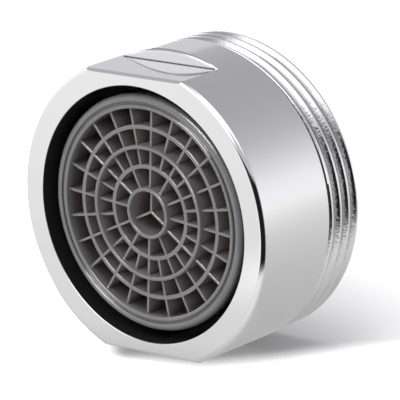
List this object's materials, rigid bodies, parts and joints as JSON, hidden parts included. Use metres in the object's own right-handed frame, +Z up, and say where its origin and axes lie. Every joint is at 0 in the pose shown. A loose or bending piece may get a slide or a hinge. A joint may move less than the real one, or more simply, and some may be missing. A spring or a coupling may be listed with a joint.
{
  "type": "tap aerator",
  "caption": "Round plated tap aerator with an outside thread, two spanner flats and a moulded ring-and-rib outlet grille that mixes air into the water.",
  "frame": {"origin": "on the housing's axis, half way along the thread", "axes": "+Y along the axis from the outlet to the thread end, +Z up and square to the spanner flats, +X to the right as seen from the outlet"},
  "size_m": [0.024, 0.012, 0.024],
  "materials": {
    "chrome_plating": "polished plating over turned brass",
    "grey_plastic": "moulded, satin",
    "pale_plastic": "moulded, satin",
    "black_rubber": "moulded, matt"
  },
  "bodies": {
    "root": {"housing": "chrome_plating", "outlet_shell": "grey_plastic", "mixing_grid": "grey_plastic", "jet_plate": "pale_plastic", "strainer": "pale_plastic", "sealing_washer": "black_rubber"}
  },
  "joints": []
}
